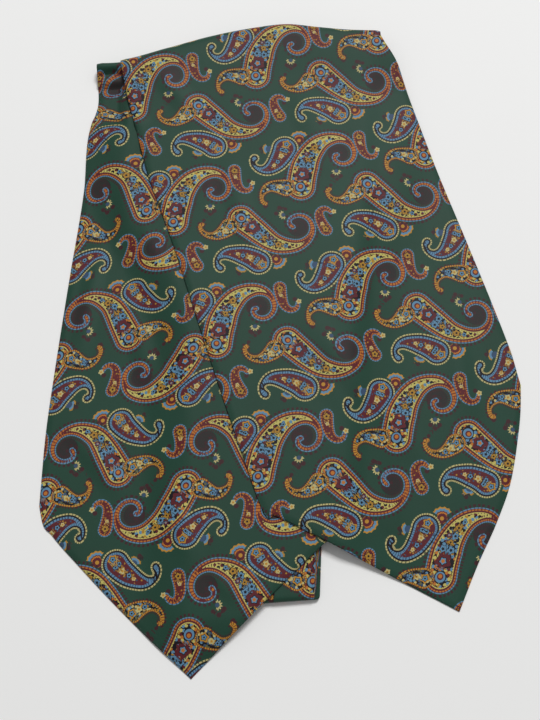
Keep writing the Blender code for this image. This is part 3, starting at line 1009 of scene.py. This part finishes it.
TWILL_HEIGHT, TWILL_STRENGTH = 0.03, 0.3
TWIST_SIZE, TWIST_CHANGE, TWIST_ROUGHNESS = 0.25, 0.2, 0.35
STITCH_SIDES, STITCH_RINGS = 8, 5
STITCH_UNEVEN = 0.18  # how much longer or shorter than the mean a stitch may be
STITCH_SINK = 0.04  # how far a stitch's middle lies below the cloth's face
SILK_ROUGHNESS, ROUGHNESS_CHANGE = 0.5, 0.12
SILK_SPECULAR, SILK_SHEEN = 0.16, 0.06
THREAD_SIZE, THREAD_DETAIL = 0.7, 3.0  # size of the threads' unevenness, and how fine it gets
THREAD_CHANGE = 0.28  # how much of it shows
CLOUD_SIZE = 22.0  # size of the patches in which the ground changes a little


def printed_silk(name, dyes, twill):
    """Silk twill with the whole print, its ribs a given distance apart."""
    silk = Shader(name, dyes)
    cloth = silk.add("ShaderNodeUVMap", {"uv_map": "Cloth"}, {})
    thread = silk.noise(cloth, THREAD_SIZE, THREAD_DETAIL)
    colour = silk.mix(silk.noise(cloth, CLOUD_SIZE), silk.dye("ground"), silk.dye("teal"))
    _, *depths = silk.attribute("depths")
    _, *rims = silk.attribute("rims")
    _, sprig_depth, sprig_rim, _ = silk.attribute("sprig")
    _, under_kind, over_kind, _ = silk.attribute("kinds")
    local, under, over = (silk.attribute(kept) for kept in ("local", "under", "over"))
    layers = dict(zip(FAMILIES, zip((*depths, sprig_depth), (*rims, sprig_rim))))
    style = (UNDER_RINGS, OPEN_UNDER, FAN_OPENS, FAN_BEADS, 0.0)
    colour = rosette_layer(silk, colour, under, under_kind, *style)
    for family in HALOS:
        colour = halo_layer(silk, colour, family, *layers[family])
    for family in PAINTED:
        colour = stroke_layer(silk, colour, family, *layers[family], local)
    style = (FLOWER_RINGS, OPEN_FLOWERS, CRESCENT_OPENS, CRESCENT_BEADS, 1.0)
    colour = rosette_layer(silk, colour, over, over_kind, *style)
    shade = {0: colour, "Scale": thread * THREAD_CHANGE + (1.0 - THREAD_CHANGE / 2.0)}
    colour = silk.add("ShaderNodeVectorMath", {"operation": "SCALE"}, shade)
    across, along, _ = silk.parts(cloth)
    ribs = ((along + across) * (math.tau / twill)).maths("SINE")
    raised = {"Height": ribs, "Distance": TWILL_HEIGHT * MM, "Strength": TWILL_STRENGTH}
    return silk.surface({
        "Base Color": colour,
        "Roughness": thread * ROUGHNESS_CHANGE + (SILK_ROUGHNESS - ROUGHNESS_CHANGE / 2.0),
        "Normal": silk.add("ShaderNodeBump", {}, raised),
        "Specular IOR Level": SILK_SPECULAR,
        "Sheen Weight": SILK_SHEEN,
    })


def silk_thread(dyes):
    """Twisted sewing silk in the cloth's green."""
    silk = Shader("sewing_silk", dyes)
    twist = silk.noise(silk.add("ShaderNodeTexCoord", {}, {}, "Object"), TWIST_SIZE)
    colour = silk.mix(twist, silk.dye("shade"), silk.dye("teal"))
    return silk.surface({"Base Color": colour, "Roughness": twist * TWIST_CHANGE + TWIST_ROUGHNESS})


def stitch_tree(thread):
    """A tree that sets a row of short stitches along a line."""
    tree = bpy.data.node_groups.new("stitches", "GeometryNodeTree")
    kinds = dict.fromkeys(("Spacing", "Length", "Thread"), "Float")
    kinds = {"Line": "Geometry"} | kinds | {"Seed": "Int"}
    for name, kind in kinds.items():
        tree.interface.new_socket(name, in_out="INPUT", socket_type="NodeSocket" + kind)
    tree.interface.new_socket("Stitches", in_out="OUTPUT", socket_type="NodeSocketGeometry")
    nodes = Nodes(tree)
    line, spacing, length, width, seed = nodes.add("NodeGroupInput", {}, {}, tuple(kinds))
    along = {"Curve": nodes.add("GeometryNodeMeshToCurve", {}, {"Mesh": line}), "Length": spacing}
    found = ("Points", "Rotation")
    points, turn = nodes.add("GeometryNodeCurveToPoints", {"mode": "LENGTH"}, along, found)
    ball = {"Segments": STITCH_SIDES, "Rings": STITCH_RINGS, "Radius": 0.5}
    stitch = nodes.add("GeometryNodeMeshUVSphere", {}, ball, "Mesh")
    stitch = nodes.add("GeometryNodeSetShadeSmooth", {}, {"Geometry": stitch})
    limits = {2: 1.0 - STITCH_UNEVEN, 3: 1.0 + STITCH_UNEVEN, "Seed": seed}
    uneven = nodes.add("FunctionNodeRandomValue", {"data_type": "FLOAT"}, limits, 1)
    size = nodes.add("ShaderNodeCombineXYZ", {}, {0: width, 1: width, 2: length * uneven})
    each = {"Points": points, "Instance": stitch, "Rotation": turn, "Scale": size}
    row = nodes.add("GeometryNodeInstanceOnPoints", {}, each)
    row = nodes.add("GeometryNodeRealizeInstances", {}, {"Geometry": row})
    row = nodes.add("GeometryNodeSetMaterial", {}, {"Geometry": row, "Material": thread})
    nodes.add("NodeGroupOutput", {}, {"Stitches": row}, ())
    return tree


def placed(name, data):
    """A new object in the scene."""
    made = bpy.data.objects.new(name, data)
    bpy.context.scene.collection.objects.link(made)
    return made


def stitches(name, tree, lines, values):
    """A plain mesh of stitches along lines of points, made by the tree with named values."""
    starts = np.append(0, np.cumsum([len(line) for line in lines]))
    edges = [(n, n + 1) for a, b in zip(starts[:-1], starts[1:]) for n in range(a, b - 1)]
    guide = bpy.data.meshes.new(name)
    guide.from_pydata((np.concatenate(lines) * MM).tolist(), edges, [])
    holder = placed(name, guide)
    sewing = holder.modifiers.new("stitches", "NODES")
    sewing.node_group = tree
    for item in tree.interface.items_tree:
        if item.name in values:
            sewing[item.identifier] = values[item.name]
    sewn = holder.evaluated_get(bpy.context.evaluated_depsgraph_get())
    mesh = bpy.data.meshes.new_from_object(sewn)
    bpy.data.objects.remove(holder)
    return mesh


def add_piece(name, mesh, material, node=None):
    """Puts a finished piece into the scene, on the cravat's one body."""
    mesh.materials.clear()
    mesh.materials.append(material)
    piece = placed(name, mesh)
    if node:
        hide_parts(node)
    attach(piece, BODY)
    return piece


def declare_band():
    """Works out the size of the flat cloth that goes once round the band; nothing uses that size."""
    wrapped = np.ptp(band_rings()[1].reshape(-1, 2), axis=0) * MM


def dye_property(description, red, green, blue):
    """A colour that a user may change; its default is given in screen values from 0 to 255."""
    linear = [((value / 255.0 + 0.055) / 1.055) ** 2.4 for value in (red, green, blue)]
    return FloatVectorProperty(description=description, default=linear, subtype="COLOR", min=0.0, max=1.0)


class CravatDyes(bpy.types.PropertyGroup):
    """Dyes of the silk."""

    ground: dye_property("Green of the cloth", 37, 65, 51)
    teal: dye_property("Second green, in soft patches", 34, 72, 58)
    blue: dye_property("Beaded outlines and petals", 95, 138, 168)
    dusk: dye_property("Blue between the large strokes' beads", 72, 90, 114)
    slate: dye_property("Blue between the other beads", 56, 78, 106)
    orange: dye_property("Second line of the large strokes", 184, 113, 46)
    rust: dye_property("Orange and gold between their beads", 118, 52, 34)
    maroon: dye_property("Lines and grounds inside the strokes", 92, 34, 40)
    wine: dye_property("Dots round the strokes", 64, 36, 40)
    plum: dye_property("Dark lines in the curls", 56, 34, 40)
    yellow: dye_property("Band inside the large strokes", 192, 180, 100)
    gold: dye_property("Outlines of the small strokes", 184, 134, 50)
    ochre: dye_property("Flowers and specks", 168, 126, 48)
    cream: dye_property("Beaded outlines of the drops", 190, 178, 122)
    moss: dye_property("Cream between its beads", 98, 100, 68)
    shade: dye_property("Dark green between the lines in the curls", 34, 50, 44)
    dark: dye_property("Darkest lines and grounds", 25, 21, 28)


def length_property(description, millimetres):
    """A length that a user may change."""
    default = millimetres * MM
    return FloatProperty(description=description, default=default, unit="LENGTH", min=1e-5, precision=5)


class CravatSizes(bpy.types.PropertyGroup):
    """Sizes of the cloth's make."""

    cloth: length_property("Full thickness of a blade", CLOTH)
    rim: length_property("Thickness of a blade at its turned edge", RIM)
    twill: length_property("Distance between the twill's ribs", 0.42)
    thread: length_property("Thickness of the sewing silk", 0.3)
    seam_spacing: length_property("From one edge stitch to the next", 3.6)
    seam_stitch: length_property("Length of an edge stitch", 1.3)
    tack_spacing: length_property("From one tack on a pleat to the next", 9.0)
    tack_stitch: length_property("Length of a tack", 2.4)


class CravatStage(bpy.types.PropertyGroup):
    """Light and table."""

    sky: FloatProperty(description="Even light from all round", default=0.3, min=0.0)
    window: FloatProperty(description="Strength of the soft lamp", default=82.0, unit="POWER", min=0.0)
    table: dye_property("Plain pale table top", 251, 251, 250)


def blade_faces(blade, sizes):
    """A blade's two faces as grids of points, and each point's place on the flat cloth."""
    middle, flat = blade_middle(blade)
    fuller = np.sqrt(ease(from_edge(flat) / PUFF))[..., None]
    normal = normals_of(middle)
    lower = middle - normal * CLOTH / 2.0
    cloth, rim = sizes.cloth / MM, sizes.rim / MM
    return lower + normal * (rim + (cloth - rim) * fuller), lower, flat


class CRAVAT_OT_blades(bpy.types.Operator):
    """Make the two blades, the right one over the left one"""

    bl_idname = "cravat.blades"
    bl_label = "Lay the blades"

    def execute(self, context):
        sizes = context.scene.cravat_sizes
        for blade in (RIGHT, LEFT):
            upper, lower, flat = blade_faces(blade, sizes)
            name = blade.name + "_silk"
            mesh, places = shell(name, upper, lower, flat)
            print_on(mesh, places, blade.laid)
            silk = printed_silk(name, context.scene.cravat_dyes, sizes.twill)
            add_piece(name, mesh, silk, blade.name)
        return {"FINISHED"}


BAND_LAID = Laid(turn=8.0, shift=(1.836, 133.05))


class CRAVAT_OT_band(bpy.types.Operator):
    """Make the hidden stretches and the pleated neck band"""

    bl_idname = "cravat.band"
    bl_label = "Fold the neck band"

    def execute(self, context):
        mesh, flat = band_shell("neck_band_silk")
        print_on(mesh, flat, BAND_LAID)
        scene = context.scene
        silk = printed_silk("neck_band_silk", scene.cravat_dyes, scene.cravat_sizes.twill)
        add_piece("neck_band_silk", mesh, silk, "neck_band")
        return {"FINISHED"}


FIRST_STITCH = ROLL_ROWS + RETURN_ROWS + 6  # the row of a blade's grid where its seam begins
STITCH_FROM_EDGE = 1  # columns and rows of the grid between the seam and the edge
TACKED = (70.0, -128.0)  # where the tacking starts and ends down the band
TACK_FROM_LIP = 2  # columns between a pleat's lip and its tacks


def seam_line(upper):
    """The seam of a blade: down its left side, round its pointed end and up its right side."""
    near, far = STITCH_FROM_EDGE, -1 - STITCH_FROM_EDGE
    left, right = upper[FIRST_STITCH:far, near], upper[FIRST_STITCH:far, far]
    end = upper[far, near:far]
    return np.concatenate([left, end, right[::-1]]) - (0.0, 0.0, STITCH_SINK)


def tack_lines():
    """Lines of tacking beside the lips of the band's pleats."""
    rings = band_rings()[0]
    column = len(LAYER_BACK_RIGHT) * len(LAYER_BELLY)
    stops = (0.0, *PLEATS, 1.0)
    lines = []
    for near, far in zip(reversed(stops[1:-1]), reversed(stops[2:])):
        column += round((far - near) * BAND_COLUMNS)
        line = rings[:, column - TACK_FROM_LIP]
        line = line[(line[:, 1] < TACKED[0]) & (line[:, 1] > TACKED[1])]
        lines.append(line - (0.0, 0.0, STITCH_SINK))
        column += len(PLEAT_LIP) - 1
    return lines


class CRAVAT_OT_seams(bpy.types.Operator):
    """Sew the blades' edges and tack the band's pleats"""

    bl_idname = "cravat.seams"
    bl_label = "Sew the seams"

    def execute(self, context):
        sizes = context.scene.cravat_sizes
        thread = silk_thread(context.scene.cravat_dyes)
        tree = stitch_tree(thread)
        seam = {"Spacing": sizes.seam_spacing, "Length": sizes.seam_stitch, "Thread": sizes.thread}
        for seed, blade in enumerate((RIGHT, LEFT)):
            upper, _, flat = blade_faces(blade, sizes)
            name = blade.name + "_seam"
            mesh = stitches(name, tree, [seam_line(upper)], seam | {"Seed": seed})
            sewn = add_piece(name, mesh, thread)
        tack = seam | {"Spacing": sizes.tack_spacing, "Length": sizes.tack_stitch, "Seed": 2}
        mesh = stitches("neck_band_tacks", tree, tack_lines(), tack)
        sewn = add_piece("neck_band_tacks", mesh, thread)
        declare_band()
        return {"FINISHED"}


def aimed(name, data, at, target):
    """An object in the scene that looks at a place."""
    made = placed(name, data)
    made.location = Vector(at) * MM
    look = (Vector(target) - Vector(at)) * MM
    made.rotation_euler = look.to_track_quat("-Z", "Y").to_euler()
    return made


CAMERA_AT, CAMERA_AIM = (-7.0, -171.0, 480.0), (-7.0, -20.6, 0.0)
LENS = 50.0
FLOOR_HALF, TABLE_ROUGHNESS = 3000.0, 0.8
WINDOW_AT, WINDOW_SIZE = (650.0, 1900.0, 2900.0), 1100.0


class CRAVAT_OT_stage(bpy.types.Operator):
    """Set up the table, the soft light and the camera"""

    bl_idname = "cravat.stage"
    bl_label = "Set the stage"

    def execute(self, context):
        scene, stage = context.scene, context.scene.cravat_stage
        mesh = bpy.data.meshes.new("table")
        half = FLOOR_HALF * MM
        corners = [(-half, -half, 0.0), (half, -half, 0.0), (half, half, 0.0), (-half, half, 0.0)]
        mesh.from_pydata(corners, [], [(0, 1, 2, 3)])
        painted = {"Base Color": (*stage.table, 1.0), "Roughness": TABLE_ROUGHNESS}
        mesh.materials.append(Shader("table").surface(painted))
        placed("table", mesh)
        camera = bpy.data.cameras.new("camera")
        camera.lens = LENS
        scene.camera = aimed("camera", camera, CAMERA_AT, CAMERA_AIM)
        lamp = bpy.data.lights.new("window", "AREA")
        lamp.energy, lamp.size = stage.window, WINDOW_SIZE * MM
        aimed("window", lamp, WINDOW_AT, (0.0, 0.0, 0.0))
        room = bpy.data.worlds.new("room")
        room.use_nodes = True
        light = room.node_tree.nodes["Background"].inputs
        light["Color"].default_value = (1.0, 1.0, 1.0, 1.0)
        light["Strength"].default_value = stage.sky
        scene.world = room
        scene.view_settings.view_transform = "Standard"
        return {"FINISHED"}


class CRAVAT_PT_panel(bpy.types.Panel):
    """Shows the buttons that make the cravat's pieces, and their settings"""

    bl_idname = "CRAVAT_PT_panel"
    bl_label = "Cravat"
    bl_space_type = "VIEW_3D"
    bl_region_type = "UI"
    bl_category = "Cravat"

    def draw(self, context):
        column = self.layout.column()
        for operator in OPERATORS:
            column.operator(operator.bl_idname)
        for group, kind in GROUPS.items():
            for name in kind.__annotations__:
                column.prop(getattr(context.scene, group), name)


OPERATORS = (CRAVAT_OT_blades, CRAVAT_OT_band, CRAVAT_OT_seams, CRAVAT_OT_stage)
GROUPS = {"cravat_sizes": CravatSizes, "cravat_dyes": CravatDyes, "cravat_stage": CravatStage}
CLASSES = (*GROUPS.values(), *OPERATORS, CRAVAT_PT_panel)


def register():
    for kind in CLASSES:
        bpy.utils.register_class(kind)
    for name, kind in GROUPS.items():
        setattr(bpy.types.Scene, name, PointerProperty(type=kind))


def unregister():
    for name in GROUPS:
        delattr(bpy.types.Scene, name)
    for kind in reversed(CLASSES):
        bpy.utils.unregister_class(kind)


def main():
    register()
    bpy.ops.cravat.blades()
    bpy.ops.cravat.band()
    bpy.ops.cravat.seams()
    bpy.ops.cravat.stage()


if __name__ == "__main__":
    main()
